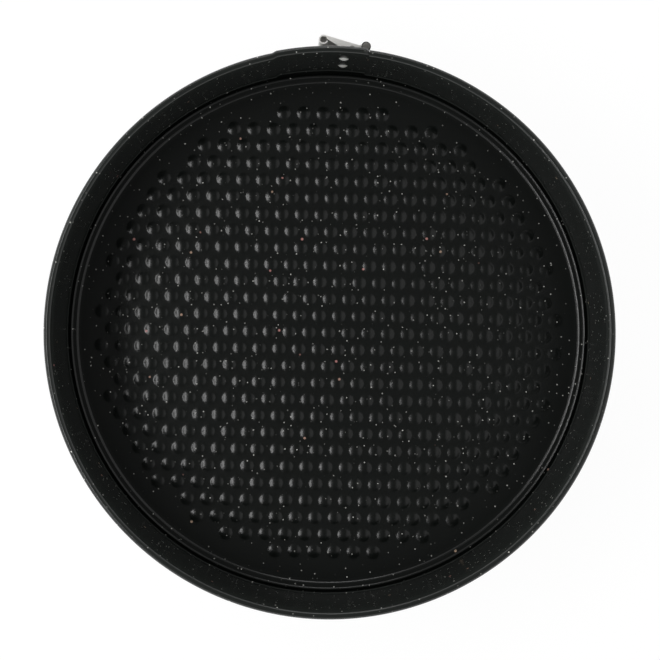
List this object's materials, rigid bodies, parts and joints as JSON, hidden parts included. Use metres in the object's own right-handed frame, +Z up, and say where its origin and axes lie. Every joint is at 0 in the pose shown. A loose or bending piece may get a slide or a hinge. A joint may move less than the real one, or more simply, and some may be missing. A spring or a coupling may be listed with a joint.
{
  "type": "springform cake pan",
  "caption": "Round springform cake pan with a loose dimpled base held in a sprung band that a lever clip at the side closes.",
  "frame": {"origin": "middle of the pan on the surface it stands on", "axes": "+Z up along the pan's axis, +Y towards the lever clip"},
  "size_m": [0.268, 0.2758, 0.068],
  "materials": {
    "coating": "satin speckled",
    "coated_fittings": "satin",
    "plating": "bright"
  },
  "bodies": {
    "band": {"band": "coating", "hinge_plate": "coated_fittings", "hinge_rivet_upper": "plating", "hinge_rivet_lower": "plating", "hinge_pin_upper": "plating", "hinge_pin_lower": "plating"},
    "base": {"base": "coating"},
    "lever": {"lever": "plating", "catch_pin": "plating"},
    "catch": {"catch_plate": "coated_fittings"}
  },
  "joints": [
    {"name": "base_lift", "type": "slide", "parent": "band", "child": "base", "axis": [0, 0, 1], "range_m": [0, 0.084], "deforming": ["band"]},
    {"name": "lever_swing", "type": "hinge", "parent": "band", "child": "lever", "pos_m": [0.017, 0.1353, 0.04], "axis": [0, 0, -1], "range_deg": [0, 150], "deforming": ["band"]},
    {"name": "catch_pivot", "type": "hinge", "parent": "lever", "child": "catch", "pos_m": [0.0105, 0.1349, 0.04], "axis": [0, 0, -1], "range_deg": [-150, 0], "deforming": ["band"]}
  ],
  "couplings": [
    {"joint": "catch_pivot", "follows": "lever_swing", "ratio": -1}
  ]
}
